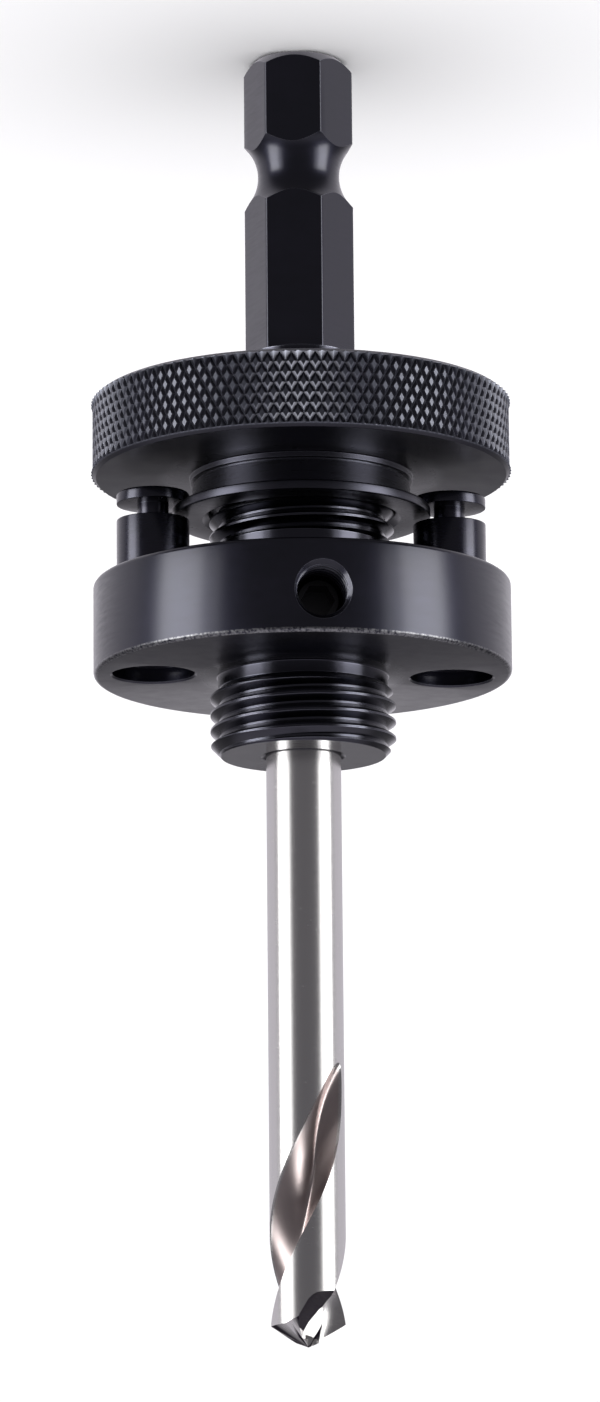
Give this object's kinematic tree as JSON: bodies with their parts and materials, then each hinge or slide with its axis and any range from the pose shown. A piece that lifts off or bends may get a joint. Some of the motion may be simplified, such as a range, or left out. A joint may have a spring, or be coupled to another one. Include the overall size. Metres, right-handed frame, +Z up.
{
  "type": "hole-saw arbor with hex shank and pilot drill",
  "caption": "Hole-saw arbor with a grooved hex shank, a knurled nut with sliding drive pins, a threaded nose and a fluted pilot drill.",
  "frame": {"origin": "centre of the shank's end face, at the foot of the standing arbor", "axes": "+Z up along the arbor's axis towards the pilot drill's tip; the drive pins are on X; the grub screw faces -Y"},
  "size_m": [0.036, 0.036, 0.1112],
  "materials": {
    "black_oxide_steel": "black oxide, satin",
    "ground_high_speed_steel": "bright ground",
    "dark_alloy_steel": "dark, oiled"
  },
  "bodies": {
    "arbor": {"arbor_body": "black_oxide_steel", "pilot_drill": "ground_high_speed_steel"},
    "drive_pins": {"drive_pin_left": "black_oxide_steel", "drive_pin_right": "black_oxide_steel"},
    "knurled_nut": {"knurled_nut": "black_oxide_steel"},
    "grub_screw": {"grub_screw": "dark_alloy_steel"}
  },
  "joints": [
    {"name": "pins_slide", "type": "slide", "parent": "arbor", "child": "drive_pins", "axis": [0, 0, 1], "range_m": [0, 0.0054]},
    {"name": "nut_turn", "type": "hinge", "parent": "drive_pins", "child": "knurled_nut", "pos_m": [0, 0, 0.0353], "axis": [0, 0, 1], "range_deg": [0, 1377]},
    {"name": "grub_screw_turn", "type": "hinge", "parent": "arbor", "child": "grub_screw", "pos_m": [0, -0.0083, 0.0507], "axis": [0, -1, 0], "range_deg": [0, 360]}
  ],
  "couplings": [
    {"joint": "pins_slide", "follows": "nut_turn", "m_per_rad": 0.00022458}
  ]
}
